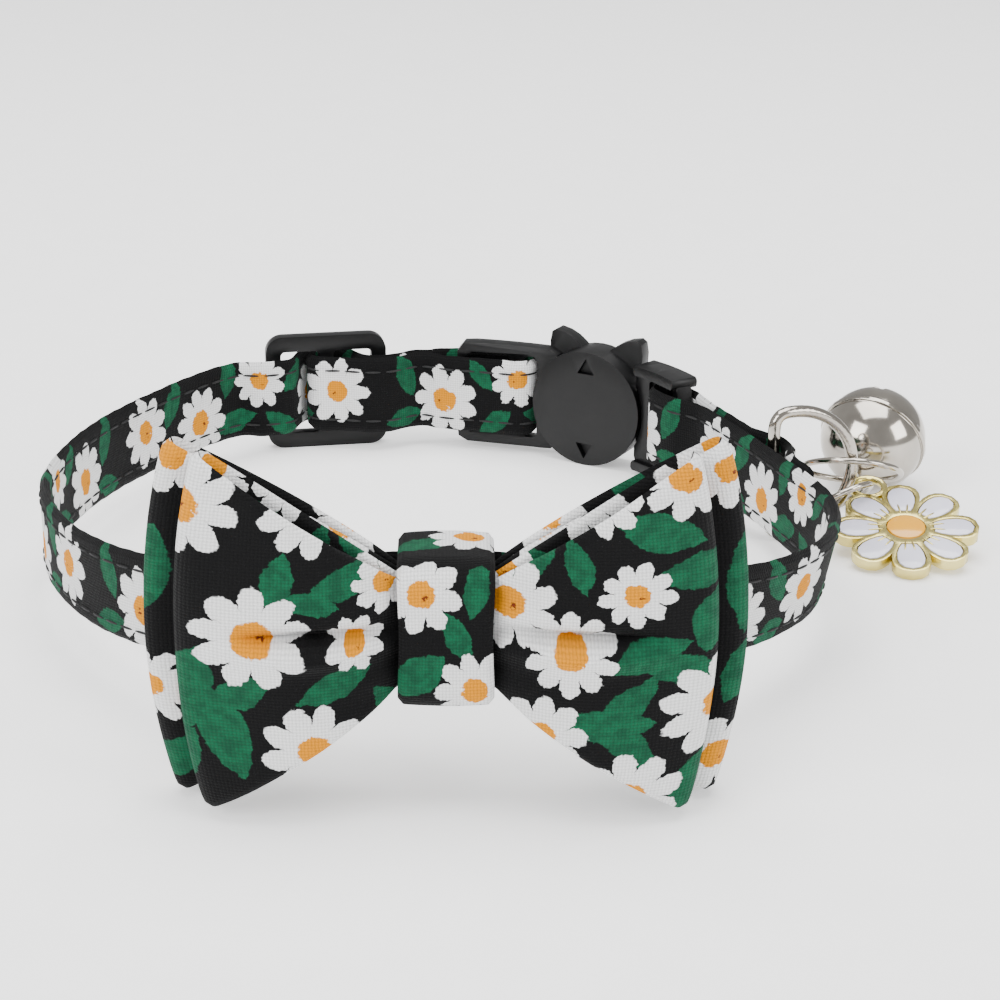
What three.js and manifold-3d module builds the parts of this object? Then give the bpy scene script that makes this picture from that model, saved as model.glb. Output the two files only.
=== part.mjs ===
// Pet bow tie collar: a cloth strap loop standing on its edge, with a two-layer bow, a slider,
// a cat-head breakaway buckle, and a D-ring that carries a pellet bell and an enamel daisy charm.
// Millimetres, +Z up. The loop is planned round its own middle; the group is moved at the end so
// that the origin is the middle of the footprint.
import * as THREE from 'three';
import { mergeVertices } from 'three/addons/utils/BufferGeometryUtils.js';
import Module from 'manifold-3d';

const wasm = await Module();
wasm.setup();

// ---- driving dimensions -------------------------------------------------------------------
const GAP = 0.3; // clearance between pieces that touch on the real collar

const STRAP = { width: 10, thick: 1.1, step: 2.4, rows: 2 };
const LAYER = STRAP.thick + GAP; // pitch of two strap layers that lie on each other

// The strap's middle line, seen from above and running clockwise from the buckle.
// x, y: place; z: height of the strap's middle; lean: outward lean of its top edge in degrees.
const LOOP = [
  { x: 18.8, y: 27.8, z: 7.5, lean: 0 },
  { x: 26.0, y: 22.0, z: 7.5, lean: 0 },
  { x: 32.6, y: 8.6, z: 7.5, lean: 0 },
  { x: 37.8, y: -6.0, z: 7.6, lean: 2 },
  { x: 40.7, y: -20.0, z: 8.2, lean: 8 },
  { x: 37.6, y: -33.0, z: 9.2, lean: 12 },
  { x: 29.0, y: -44.4, z: 10.8, lean: 10 },
  { x: 19.0, y: -52.2, z: 13.8, lean: 3 },
  { x: 7.0, y: -57.4, z: 17.0, lean: 0 },
  { x: -7.0, y: -57.4, z: 17.0, lean: 0 },
  { x: -19.0, y: -51.8, z: 13.6, lean: 0 },
  { x: -29.4, y: -42.6, z: 10.8, lean: 0 },
  { x: -38.4, y: -30.4, z: 9.2, lean: 0 },
  { x: -43.6, y: -16.0, z: 8.7, lean: 0 },
  { x: -42.4, y: 0.0, z: 8.2, lean: 0 },
  { x: -36.6, y: 15.6, z: 7.7, lean: 0 },
  { x: -26.4, y: 30.0, z: 7.5, lean: 0 },
  { x: -12.0, y: 34.4, z: 7.5, lean: 0 },
  { x: 5.0, y: 33.4, z: 7.5, lean: 0 },
];

const SLIDER = { length: 15.6, height: 15, thick: 1.6, bar: 1.9, radius: 2.2, along: -15.6 };
const BUCKLE = {
  headRadius: 7.5, headThick: 4.8, earOut: 3.2, earBase: 5.2, earAngle: 34, earThick: 1.9,
  frameThick: 2.0, frameHeight: 13.4, railThick: 3.6, bar: 1.8, window: 2.0,
  socketRoot: -4.6, socketBar: -10.4, socketEnd: -18.4,
  plugRoot: 7.0, plugBar: 12.3, plugEnd: 15.6, tongueHeight: 6.6, tongueThick: 1.9, slotGap: 0.35,
};
const D_RING = { wire: 0.75, reach: 10.4, half: 7.5, z: 8.3, x: 36.2 };
const BELL = {
  x: 52.8, y: 17.6, radius: 6.4, wall: 0.5, slot: 1.3, slotReach: 5.7, slotDepth: 3.4, pellet: 1.9, eye: 1.9,
  loopWay: new THREE.Vector3(-0.45, -0.8, -0.4),
};
const CHARM = {
  x: 53.0, y: -4.2, petals: 8, reach: 8.3, thick: 1.3, rim: 0.42, cell: 0.45, centre: 2.3,
  tilt: 15, tiltSide: -3, turn: 109, eye: 1.9,
};
const JUMP = { wire: 0.42, bellAt: 8.6, charmAt: 4.2, bellRoom: 0.35, charmRoom: 1.8 };
const BOW = { y: -62.2, z: 17.2, lean: 3, strapY: -58.2 };
const KNOT = { width: 8.4, height: 13.6, wall: 1.1 };

// half: half length to the end fold; waist and end: half heights; bulge: how far the end fold
// stands out at mid height; deep: room between the walls; crease: depth of the fold that runs out
// of the knot; waistY, midY and endY: place of the layer in the knot, its extra swing half way
// along the wing, and its place at the end.
const BOW_LAYERS = [
  { name: 'bow_front', half: 21.8, waist: 5.0, end: 16.9, bulge: 2.2, deep: 2.6, crease: 1.3,
    waistY: -1.45, midY: -2.0, endY: -2.2 },
  { name: 'bow_back', half: 24.6, waist: 4.9, end: 17.0, bulge: 2.5, deep: 1.5, crease: 0.4,
    waistY: 1.5, midY: 0.5, endY: 1.5 },
];
const BOW_WALL = 1.1;

const group = new THREE.Group();
const radians = THREE.MathUtils.degToRad;

// ---- materials ----------------------------------------------------------------------------
const cloth = () => new THREE.MeshStandardMaterial({ color: 0x1d1d1f, roughness: 0.92, metalness: 0 });
const plastic = () => new THREE.MeshStandardMaterial({ color: 0x161618, roughness: 0.42, metalness: 0 });
const nickel = () => new THREE.MeshStandardMaterial({ color: 0xc9c4ba, roughness: 0.16, metalness: 1 });
const gold = () => new THREE.MeshStandardMaterial({ color: 0xd8c77a, roughness: 0.25, metalness: 1 });
const white = () => new THREE.MeshStandardMaterial({ color: 0xe6e4ef, roughness: 0.15, metalness: 0 });
const yellow = () => new THREE.MeshStandardMaterial({ color: 0xf0b514, roughness: 0.15, metalness: 0 });

// ---- helpers ------------------------------------------------------------------------------
function bare(geometry) {
  const copy = geometry.index ? geometry.toNonIndexed() : geometry.clone();
  for (const name of Object.keys(copy.attributes)) if (name !== 'position') copy.deleteAttribute(name);
  return mergeVertices(copy, 1e-5);
}

function solid(geometry) {
  const merged = bare(geometry);
  return new wasm.Manifold(new wasm.Mesh({
    numProp: 3,
    vertProperties: new Float32Array(merged.attributes.position.array),
    triVerts: new Uint32Array(merged.index.array),
  }));
}

function fromSolid(manifold) {
  const mesh = manifold.getMesh();
  const geometry = new THREE.BufferGeometry();
  geometry.setAttribute('position', new THREE.BufferAttribute(new Float32Array(mesh.vertProperties), 3));
  geometry.setIndex(new THREE.BufferAttribute(new Uint32Array(mesh.triVerts), 1));
  return geometry;
}

function add(name, geometry, material) {
  geometry.computeVertexNormals();
  const mesh = new THREE.Mesh(geometry, material);
  mesh.name = name;
  group.add(mesh);
  return mesh;
}

// Moves every vertex of a geometry by place(point), which returns the new point.
function warp(geometry, place) {
  const position = geometry.attributes.position;
  const point = new THREE.Vector3();
  for (let i = 0; i < position.count; i += 1) {
    const moved = place(point.fromBufferAttribute(position, i));
    position.setXYZ(i, moved.x, moved.y, moved.z);
  }
  return geometry;
}

function roundedRect(shape, left, right, bottom, top, radius) {
  shape.moveTo(left + radius, bottom);
  shape.lineTo(right - radius, bottom);
  shape.absarc(right - radius, bottom + radius, radius, -Math.PI / 2, 0, false);
  shape.lineTo(right, top - radius);
  shape.absarc(right - radius, top - radius, radius, 0, Math.PI / 2, false);
  shape.lineTo(left + radius, top);
  shape.absarc(left + radius, top - radius, radius, Math.PI / 2, Math.PI, false);
  shape.lineTo(left, bottom + radius);
  shape.absarc(left + radius, bottom + radius, radius, Math.PI, Math.PI * 1.5, false);
  return shape;
}

// A closed wire ring whose middle line is centre(turn) for turn from 0 to 1.
function wireRing(centre, wire, around, sides) {
  const torus = new THREE.TorusGeometry(1, 0.5, sides, around);
  const step = 1e-3;
  return warp(bare(torus), (p) => {
    const turn = (Math.atan2(p.y, p.x) / (2 * Math.PI) + 1) % 1;
    const out = (Math.hypot(p.x, p.y) - 1) / 0.5;
    const side = p.z / 0.5;
    const here = centre(turn);
    const along = centre((turn + step) % 1).sub(centre((turn - step + 1) % 1)).normalize();
    const flat = centre.normal;
    const outward = new THREE.Vector3().crossVectors(along, flat).normalize();
    return here.addScaledVector(outward, out * wire).addScaledVector(flat, side * wire);
  });
}

function roundRing(middle, flat, first, radius) {
  const normal = flat.clone().normalize();
  const x = first.clone().addScaledVector(normal, -first.dot(normal)).normalize();
  const y = new THREE.Vector3().crossVectors(normal, x);
  const centre = (turn) => {
    const angle = turn * 2 * Math.PI;
    return middle.clone().addScaledVector(x, radius * Math.cos(angle))
      .addScaledVector(y, radius * Math.sin(angle));
  };
  centre.normal = normal;
  return centre;
}

// ---- the loop: places on it are (along, out, up) ------------------------------------------
const loopCurve = new THREE.CatmullRomCurve3(
  LOOP.map((row) => new THREE.Vector3(row.x, row.y, row.z)), true, 'centripetal');
loopCurve.arcLengthDivisions = 1200;
const loopLength = loopCurve.getLength();

const leanCurve = new THREE.CatmullRomCurve3(
  LOOP.map((row, i) => new THREE.Vector3(i, row.lean, 0)), true, 'centripetal');

function station(along) {
  const turn = ((along / loopLength) % 1 + 1) % 1;
  const t = loopCurve.getUtoTmapping(turn);
  const point = loopCurve.getPoint(t);
  const tangent = loopCurve.getTangent(t);
  const forward = new THREE.Vector3(tangent.x, tangent.y, 0).normalize();
  const outward = new THREE.Vector3(-forward.y, forward.x, 0);
  const lean = radians(leanCurve.getPoint(t).y);
  return { point, forward, outward, lean };
}

function onLoop(along, out, up) {
  const { point, outward, lean } = station(along);
  const place = point.clone();
  place.addScaledVector(outward, out * Math.cos(lean) + up * Math.sin(lean));
  place.z += up * Math.cos(lean) - out * Math.sin(lean);
  return place;
}

function alongAt(x, y) {
  let best = 0;
  let nearest = Infinity;
  for (let along = 0; along < loopLength; along += 0.1) {
    const { point } = station(along);
    const far = Math.hypot(point.x - x, point.y - y);
    if (far < nearest) {
      nearest = far;
      best = along;
    }
  }
  return best;
}

const ringAlong = alongAt(D_RING.x, -1);
const sliderAlong = alongAt(SLIDER.along, 34) - loopLength;

// ---- strap --------------------------------------------------------------------------------
// One strip of cloth. Its middle line is drawn in the flat (along, out) plane of the loop: the
// sewn tail outside the D-ring's bar, back round the plug's bar, once round the neck, through
// the slider, round the socket's bar and back round the slider's middle bar.
function strapLine() {
  const half = STRAP.thick / 2;
  const turn = Math.hypot(BUCKLE.bar / 2, BUCKLE.frameThick / 2) + GAP * 0.7 + half;
  const tailOut = LAYER;
  const ringOut = half + 2 * D_RING.wire + 2 * GAP + half;
  const slide = Math.hypot(SLIDER.bar / 2, SLIDER.thick / 2) + GAP * 0.7 + half;
  const line = [];
  const to = (along, out) => line.push(new THREE.Vector2(along, out));
  const bend = (along, radius, from, until) => {
    for (let i = 0; i <= 6; i += 1) {
      const angle = radians(from + ((until - from) * i) / 6);
      to(along + radius * Math.cos(angle), radius * Math.sin(angle));
    }
  };
  to(ringAlong + 9.5, tailOut);
  to(ringAlong + 4.5, tailOut + 0.02);
  to(ringAlong + 2.4, ringOut - 0.75);
  to(ringAlong + 1.2, ringOut);
  to(ringAlong - 1.2, ringOut);
  to(ringAlong - 2.4, ringOut - 0.75);
  to(ringAlong - 4.5, tailOut + 0.02);
  for (let along = ringAlong - 6.5; along > BUCKLE.plugBar + 7; along -= STRAP.step) to(along, tailOut);
  to(BUCKLE.plugEnd + 0.5, turn - 0.2);
  bend(BUCKLE.plugBar, turn, 90, 270);
  to(BUCKLE.plugEnd + 0.5, -turn + 0.1);
  to(BUCKLE.plugEnd + 2.6, -0.7);
  const last = loopLength + sliderAlong;
  const start = BUCKLE.plugBar + 8;
  const count = Math.round((last - 11.5 - start) / STRAP.step);
  for (let i = 0; i <= count; i += 1) to(start + ((last - 11.5 - start) * i) / count, 0);
  to(last - 9.6, -slide + 0.3);
  to(last - 7.6, -slide);
  to(last - 5.5, -slide);
  to(last - 4.6, -slide + 0.8);
  to(last - 3.1, slide - 0.2);
  to(last - 2.0, slide + LAYER - 0.5);
  to(last - 0.7, slide + LAYER);
  to(last + 0.7, slide + LAYER);
  to(last + 2.0, slide + LAYER - 0.5);
  to(last + 3.1, slide - 0.2);
  to(last + 4.6, -slide + 0.8);
  to(last + 5.5, -slide);
  to(last + 7.6, -slide);
  to(last + 9.4, -slide + 1.0);
  to(last + 11.5, LAYER / 2);
  const socket = loopLength + BUCKLE.socketBar;
  const reach = socket + BUCKLE.socketEnd - BUCKLE.socketBar - 4;
  for (let along = last + 14; along < reach; along += STRAP.step) to(along, LAYER / 2);
  to(reach + 2.6, turn - 0.25);
  to(socket - 3, turn);
  bend(socket, turn, 90, -90);
  to(socket - 3, -turn);
  to(reach + 2.6, -turn + 0.25);
  for (let along = reach; along > last + 13; along -= STRAP.step) to(along, -LAYER / 2);
  to(last + 11.5, -LAYER / 2 - 0.15);
  to(last + 9.4, -slide - LAYER + 0.8);
  to(last + 7.6, -slide - LAYER);
  to(last + 5.2, -slide - LAYER);
  to(last + 3.4, -slide - 0.9);
  to(last + 1.8, -slide - 0.2);
  bend(last, slide, 270, 90);
  to(last + 0.8, slide);
  return line;
}

// A strip of even thickness along a line, as a box with one step for each stretch of the line.
// Its x and y follow the line, and its z runs from -1 at the lower edge to 1 at the upper edge.
function strip(line, thick, rows) {
  const steps = line.length - 1;
  const sides = line.map((point, i) => {
    const run = line[Math.min(i + 1, steps)].clone().sub(line[Math.max(i - 1, 0)]).normalize();
    return new THREE.Vector2(-run.y, run.x);
  });
  return warp(bare(new THREE.BoxGeometry(steps, 2, 2, steps, 1, rows)), (p) => {
    const i = Math.round(p.x + steps / 2);
    const flat = line[i].clone().addScaledVector(sides[i], p.y * thick * 0.5);
    return new THREE.Vector3(flat.x, flat.y, p.z);
  });
}

function makeStrap() {
  const flat = strip(strapLine(), STRAP.thick, STRAP.rows);
  add('strap', warp(flat, (p) => onLoop(p.x, p.y, (p.z * STRAP.width) / 2)), cloth());
}

// ---- hard pieces on the loop ---------------------------------------------------------------
// Each is drawn in the (along, up) plane, centred on the strap, with +z towards the neck.
function plate(shape, thick, holes = []) {
  shape.holes.push(...holes);
  const geometry = new THREE.ExtrudeGeometry(shape, { depth: thick, bevelEnabled: false, curveSegments: 4 });
  return geometry.translate(0, 0, -thick / 2);
}

function placeAt(geometry, along) {
  const { point, forward, outward } = station(along);
  const basis = new THREE.Matrix4().makeBasis(forward, new THREE.Vector3(0, 0, 1), outward.negate());
  return geometry.applyMatrix4(basis.setPosition(point));
}

function makeSlider() {
  const { length, height, thick, bar, radius } = SLIDER;
  const shape = roundedRect(new THREE.Shape(), -length / 2, length / 2, -height / 2, height / 2, radius);
  const innerHeight = STRAP.width / 2 + 0.5;
  const slots = [-1, 1].map((side) => {
    const near = side * (bar / 2);
    const far = side * (length / 2 - bar);
    return roundedRect(new THREE.Path(), Math.min(near, far), Math.max(near, far),
      -innerHeight, innerHeight, 0.6);
  });
  const frame = plate(shape, thick, slots);
  add('slider', bare(placeAt(frame, loopLength + sliderAlong)), plastic());
}

// A plate drawn in the (along, up) plane and bent round the loop; its outline is cut into short
// steps so that it follows the curve.
function bentPlate(shape, windows, thick, from) {
  const fine = new THREE.Shape(shape.getSpacedPoints(36));
  fine.holes = windows.map((window) => new THREE.Path(window.getSpacedPoints(28)));
  const flat = new THREE.ExtrudeGeometry(fine, { depth: thick, bevelEnabled: false });
  return solid(warp(bare(flat), (p) => onLoop(from + p.x, thick / 2 - p.z, p.y)));
}

function window(from, until) {
  const inner = STRAP.width / 2 + 0.45;
  return roundedRect(new THREE.Path(), Math.min(from, until), Math.max(from, until), -inner, inner, 0.5);
}

// A half of the buckle's loop frame: a plate with a window each side of the bar that the strap
// goes round, and thicker rails along its top and bottom.
function loopFrame(root, barAt, end) {
  const side = Math.sign(end);
  const half = BUCKLE.frameHeight / 2;
  const rail = half - STRAP.width / 2 - 0.45;
  const edge = BUCKLE.bar / 2;
  const outline = (low, high, radius) => roundedRect(new THREE.Shape(), Math.min(root, end),
    Math.max(root, end), low, high, radius);
  const headSide = window(barAt - side * (edge + BUCKLE.window), barAt - side * edge);
  const farSide = window(barAt + side * edge, end - side * 1.2);
  let frame = bentPlate(outline(-half, half, 1.4), [headSide, farSide], BUCKLE.frameThick, loopLength);
  if (side > 0) {
    const proud = 0.17;
    for (const way of [-1, 1]) {
      const low = way > 0 ? half - rail + proud : -half - proud;
      const bar = roundedRect(new THREE.Shape(), root + proud, end - proud, low, low + rail, 0.3);
      frame = frame.add(bentPlate(bar, [], BUCKLE.railThick, loopLength));
    }
  }
  return frame;
}

function ear(side) {
  const shape = new THREE.Shape();
  const half = BUCKLE.earBase / 2;
  shape.moveTo(-half, -1.6);
  shape.lineTo(half, -1.6);
  shape.quadraticCurveTo(half * 0.95, BUCKLE.earOut * 0.45, 0.35, BUCKLE.earOut);
  shape.lineTo(-0.35, BUCKLE.earOut);
  shape.quadraticCurveTo(-half * 0.95, BUCKLE.earOut * 0.45, -half, -1.6);
  const geometry = new THREE.ExtrudeGeometry(shape,
    { depth: BUCKLE.earThick, bevelEnabled: false, curveSegments: 4 });
  geometry.translate(0, BUCKLE.headRadius, -0.4 - BUCKLE.earThick);
  return geometry.rotateZ(radians(side * BUCKLE.earAngle));
}

// The buckle is fastened: the head, with the ears on its outer side, and the left frame are the
// socket; the tongue in the head's slot and the right frame are the plug.
function makeBuckle() {
  const { headRadius, headThick, tongueHeight, tongueThick, slotGap } = BUCKLE;
  const atHead = (geometry) => solid(placeAt(geometry, loopLength));
  const disc = (radius, thick) => atHead(
    new THREE.CylinderGeometry(radius, radius, thick, 40).rotateX(Math.PI / 2));
  const slotLength = 2 * headRadius;
  let socket = disc(headRadius, headThick)
    .add(loopFrame(BUCKLE.socketRoot, BUCKLE.socketBar, BUCKLE.socketEnd));
  for (const side of [-1, 1]) socket = socket.add(atHead(ear(side)));
  socket = socket.subtract(atHead(new THREE.BoxGeometry(slotLength, tongueHeight + 2 * slotGap,
    tongueThick + 2 * slotGap).translate(slotLength / 2 - 2.4, 0, 0)));
  for (const side of [-1, 1]) {
    const notch = new THREE.CylinderGeometry(1.35, 1.35, 1.8, 3).rotateX(Math.PI / 2);
    notch.rotateZ(side > 0 ? Math.PI : 0).translate(0, side * 5.3, headThick / 2);
    socket = socket.subtract(atHead(notch));
  }
  add('buckle_socket', fromSolid(socket), plastic());

  const frame = loopFrame(BUCKLE.plugRoot, BUCKLE.plugBar, BUCKLE.plugEnd)
    .subtract(disc(headRadius + GAP, headThick + 4));
  const tongueLength = headRadius + 3.7;
  const tongue = new THREE.BoxGeometry(tongueLength, tongueHeight, tongueThick)
    .translate(tongueLength / 2 - 1.9, 0, 0);
  add('buckle_plug', fromSolid(frame.add(atHead(tongue))), plastic());
}

// ---- D-ring, bell and charm ---------------------------------------------------------------
const ringStation = station(ringAlong);
const ringFoot = ringStation.point.clone().addScaledVector(ringStation.outward,
  STRAP.thick / 2 + GAP + D_RING.wire);
ringFoot.z = D_RING.z;

function dPath() {
  const corner = 1.8;
  const { reach, half } = D_RING;
  const path = new THREE.Path();
  path.moveTo(0, -half + corner);
  path.lineTo(0, half - corner);
  path.quadraticCurveTo(0, half, corner, half);
  path.lineTo(corner + 0.6, half);
  path.absellipse(corner + 0.6, 0, reach - corner - 0.6, half, Math.PI / 2, -Math.PI / 2, true);
  path.lineTo(corner, -half);
  path.quadraticCurveTo(0, -half, 0, -half + corner);
  return path;
}

const dLine = dPath();
function dPoint(turn) {
  const flat = dLine.getPointAt(((turn % 1) + 1) % 1);
  return ringFoot.clone().addScaledVector(ringStation.outward, flat.x).add(new THREE.Vector3(0, 0, flat.y));
}
dPoint.normal = new THREE.Vector3().crossVectors(ringStation.outward, new THREE.Vector3(0, 0, 1));

// The place on the ring's outer bow that is at a given height.
function dAtHeight(z) {
  let best = 0;
  for (let turn = 0; turn < 1; turn += 0.004) {
    const flat = dLine.getPointAt(turn);
    if (flat.x > D_RING.reach / 2 && Math.abs(dPoint(turn).z - z) < Math.abs(dPoint(best).z - z)) best = turn;
  }
  return dPoint(best);
}

// A jump ring that goes round a wire of the D-ring and through the middle of an eye.
function jumpRing(name, wirePoint, eye, flat, room) {
  const way = eye.clone().sub(wirePoint);
  const past = D_RING.wire + JUMP.wire + room;
  const radius = (way.length() + past) / 2;
  way.normalize();
  const square = flat.clone().addScaledVector(way, -flat.dot(way));
  const middle = eye.clone().addScaledVector(way, -radius);
  add(name, wireRing(roundRing(middle, square, way, radius), JUMP.wire, 32, 8), nickel());
}

function makeBell() {
  const centre = new THREE.Vector3(BELL.x, BELL.y, BELL.radius + 0.05);
  const loopWay = BELL.loopWay.clone().normalize();
  const ball = new THREE.SphereGeometry(BELL.radius, 32, 20);
  const hollow = new THREE.SphereGeometry(BELL.radius - BELL.wall, 24, 14);
  let shell = solid(ball).subtract(solid(hollow));
  const seam = new THREE.CylinderGeometry(BELL.radius + 0.22, BELL.radius + 0.22, 0.7, 48, 1);
  shell = shell.add(solid(seam).subtract(solid(new THREE.SphereGeometry(BELL.radius - 0.15, 24, 16))));
  // the cross slot is cut in the pole opposite the loop
  for (const turn of [0, Math.PI / 2]) {
    const arm = new THREE.BoxGeometry(2 * BELL.slotReach, 2 * BELL.slotDepth, BELL.slot);
    shell = shell.subtract(solid(arm.translate(0, BELL.radius, 0).rotateY(turn)));
  }
  const loop = new THREE.TorusGeometry(BELL.eye, 0.5, 8, 20).translate(0, -BELL.radius - BELL.eye + 0.4, 0);
  shell = shell.add(solid(loop).subtract(solid(new THREE.SphereGeometry(BELL.radius - 0.3, 24, 16))));
  // the loop's plane is upright
  const pole = loopWay.clone().negate();
  const upright = new THREE.Vector3(0, 0, 1).projectOnPlane(pole).normalize();
  const place = new THREE.Matrix4().makeBasis(upright, pole, upright.clone().cross(pole)).setPosition(centre);
  add('bell', fromSolid(shell).applyMatrix4(place), nickel());
  const floor = BELL.radius - BELL.wall - BELL.pellet - GAP;
  const pellet = new THREE.SphereGeometry(BELL.pellet, 14, 10);
  add('bell_pellet', bare(pellet.translate(centre.x, centre.y, centre.z - floor)), nickel());
  return centre.clone().addScaledVector(loopWay, BELL.radius + BELL.eye - 0.4);
}

// One petal of the charm as a closed path about the charm's middle, grown or shrunk by inset.
function petalPath(target, angle, inset) {
  const inner = CHARM.centre + 0.35 + inset;
  const outer = CHARM.reach - inset;
  const halfAngle = Math.PI / CHARM.petals;
  const wide = (outer * 0.62) * Math.tan(halfAngle) * 1.12 - inset;
  const narrow = Math.max(inner * Math.tan(halfAngle) - inset * 0.9, 0.12);
  const [cos, sin] = [Math.cos(angle), Math.sin(angle)];
  const turn = (x, y) => [x * cos - y * sin, x * sin + y * cos];
  target.moveTo(...turn(inner, -narrow));
  target.bezierCurveTo(...turn(outer * 0.55, -wide * 0.95), ...turn(outer * 0.98, -wide * 1.35),
    ...turn(outer, 0));
  target.bezierCurveTo(...turn(outer * 0.98, wide * 1.35), ...turn(outer * 0.55, wide * 0.95),
    ...turn(inner, narrow));
  target.lineTo(...turn(inner, -narrow));
  return target;
}

function extrude(shape, from, until, detail) {
  return new THREE.ExtrudeGeometry(shape,
    { depth: until - from, bevelEnabled: false, curveSegments: detail }).translate(0, 0, from);
}

function makeCharm() {
  const floor = CHARM.thick - CHARM.cell;
  const disc = (radius, from, until) => new THREE.CylinderGeometry(radius, radius, until - from, 28)
    .rotateX(Math.PI / 2).translate(0, 0, (from + until) / 2);
  let base = solid(disc(CHARM.centre + 1.4, 0, CHARM.thick));
  const angles = Array.from({ length: CHARM.petals }, (_, i) => ((i + 0.5) * 2 * Math.PI) / CHARM.petals);
  const petalSolid = (angle, inset, from, until, detail) => solid(
    extrude(petalPath(new THREE.Shape(), angle, inset), from, until, detail));
  for (const angle of angles) base = base.add(petalSolid(angle, 0, 0, CHARM.thick, 7));
  for (const angle of angles) {
    base = base.subtract(petalSolid(angle, CHARM.rim, floor, CHARM.thick + 1, 6));
  }
  base = base.subtract(solid(disc(CHARM.centre, floor, CHARM.thick + 1)));
  const loop = new THREE.TorusGeometry(CHARM.eye, 0.45, 8, 18)
    .translate(CHARM.reach + CHARM.eye - 1.0, 0, CHARM.thick / 2);
  base = base.add(solid(loop));
  const place = new THREE.Matrix4().makeTranslation(CHARM.x, CHARM.y, 0)
    .multiply(new THREE.Matrix4().makeRotationX(radians(CHARM.tilt)))
    .multiply(new THREE.Matrix4().makeRotationY(radians(CHARM.tiltSide)))
    .multiply(new THREE.Matrix4().makeRotationZ(radians(CHARM.turn)));
  const geometry = fromSolid(base).applyMatrix4(place);
  geometry.computeBoundingBox();
  const lift = new THREE.Matrix4().makeTranslation(0, 0, 0.05 - geometry.boundingBox.min.z);
  add('charm_base', geometry.applyMatrix4(lift), gold());
  place.premultiply(lift);
  const fill = 0.12;
  angles.forEach((angle, i) => {
    const outline = petalPath(new THREE.Shape(), angle, CHARM.rim + fill);
    const petal = extrude(outline, floor + fill, CHARM.thick, 6);
    add(`charm_petal_${i + 1}`, bare(petal).applyMatrix4(place), white());
  });
  const middle = disc(CHARM.centre - fill, floor + fill, CHARM.thick + 0.1);
  add('charm_centre', bare(middle).applyMatrix4(place), yellow());
  return new THREE.Vector3(CHARM.reach + CHARM.eye - 1.0, 0, CHARM.thick / 2).applyMatrix4(place);
}

function makeRingAndDrops() {
  add('d_ring', wireRing(dPoint, D_RING.wire, 56, 10), nickel());
  const up = new THREE.Vector3(0, 0, 1);
  jumpRing('jump_ring_bell', dAtHeight(JUMP.bellAt), makeBell(), up, JUMP.bellRoom);
  const charmWire = dAtHeight(JUMP.charmAt);
  const charmEye = makeCharm();
  const across = up.clone().cross(charmEye.clone().sub(charmWire)).normalize();
  jumpRing('jump_ring_charm', charmWire, charmEye, up.clone().multiplyScalar(1.2).add(across),
    JUMP.charmRoom);
}

// ---- bow ----------------------------------------------------------------------------------
function bowPlace(x, y, z) {
  const lean = radians(BOW.lean);
  return new THREE.Vector3(x, BOW.y + y * Math.cos(lean) + z * Math.sin(lean),
    BOW.z + z * Math.cos(lean) - y * Math.sin(lean));
}

// How far along the wing a point is: 0 in the knot, 1 at the end fold.
function wing(x, layer) {
  const root = KNOT.width / 2;
  return THREE.MathUtils.clamp((Math.abs(x) - root) / (layer.half - root), 0, 1);
}

// The middle line of one wing's cloth, seen from above: out along the front, round the end fold
// and back along the rear. Both ends are in the knot, and the wing is open above and below.
function wingLine(layer) {
  const room = (x) => layer.deep * Math.sin(Math.PI * wing(x, layer) * 0.97) ** 0.9;
  const stations = 11;
  const cap = 6;
  const from = KNOT.width / 2 - 1.0;
  const inner = layer.half - 1.6;
  const wall = [];
  for (let i = 0; i <= stations; i += 1) {
    const x = from + (inner - from) * (i / stations) ** 1.2;
    wall.push(new THREE.Vector2(x, 0.15 + 0.0006 * x * x + (room(x) + BOW_WALL) / 2));
  }
  const last = wall[stations];
  const end = [];
  for (let i = 1; i < cap; i += 1) {
    const angle = -Math.PI / 2 + (Math.PI * i) / cap;
    end.push(new THREE.Vector2(last.x + Math.cos(angle), last.y * Math.sin(angle)));
  }
  const front = wall.map(({ x, y }) => new THREE.Vector2(x, -y));
  return [...front, ...end, ...wall.reverse()];
}

function bendBow(geometry, layer) {
  return warp(geometry, (p) => {
    const v = p.z; // -1 bottom edge, 1 top edge
    const w = wing(p.x, layer);
    const half = layer.waist + (layer.end - layer.waist) * (w ** 0.92);
    const x = p.x + Math.sign(p.x) * layer.bulge * (w ** 3) * (1 - v * v);
    const fold = p.y < 0 ? layer.crease * Math.exp(-((v * half) ** 2) / 5) * Math.sin(Math.PI * w) : 0;
    const y = layer.waistY + (layer.endY - layer.waistY) * w
      + layer.midY * Math.sin(Math.PI * (w ** 0.8)) + p.y + fold;
    return bowPlace(x, y, v * half);
  });
}

function makeBowLayer(layer) {
  const rows = 12;
  const right = strip(wingLine(layer), BOW_WALL, rows);
  const left = right.clone().rotateZ(Math.PI);
  const waistLength = KNOT.width - 0.2;
  const waist = bare(new THREE.BoxGeometry(waistLength, 2 * (BOW_WALL + 0.13), 2));
  const bow = solid(bendBow(right, layer)).add(solid(bendBow(left, layer))).add(solid(bendBow(waist, layer)));
  add(layer.name, fromSolid(bow), cloth());
}

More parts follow.
